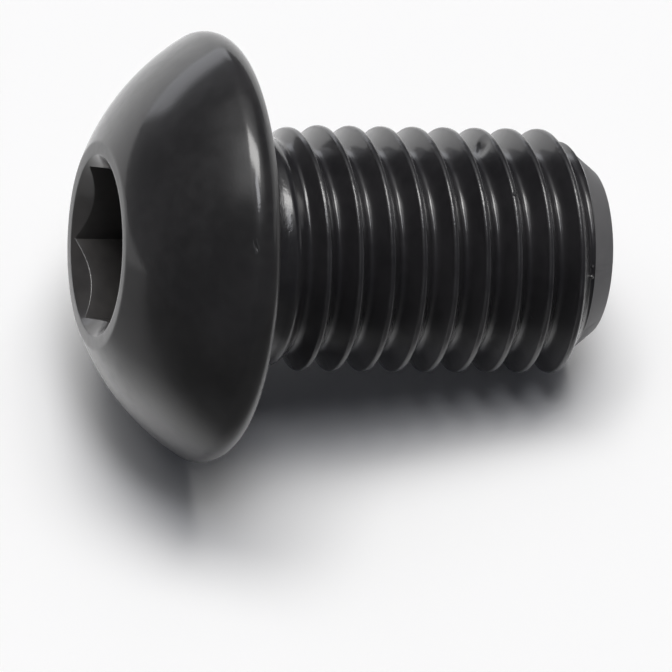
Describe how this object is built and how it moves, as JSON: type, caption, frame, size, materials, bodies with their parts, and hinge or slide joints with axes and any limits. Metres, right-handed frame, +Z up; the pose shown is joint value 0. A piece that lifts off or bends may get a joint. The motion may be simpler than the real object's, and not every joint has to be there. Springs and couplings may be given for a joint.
{
  "type": "button head machine screw",
  "caption": "Black button head machine screw with a hexagon socket, fine right-hand thread and chamfered point, lying as it rests.",
  "frame": {"origin": "on the surface that the screw lies on, at the middle of its box", "axes": "+Z up; +X from the head towards the point, level, with the screw's own axis sloping down from it; +Y across"},
  "size_m": [0.0174, 0.0136, 0.0133],
  "materials": {
    "black_oxide_steel": "black oxide, satin, lightly oiled"
  },
  "bodies": {
    "root": {"screw": "black_oxide_steel"}
  },
  "joints": []
}
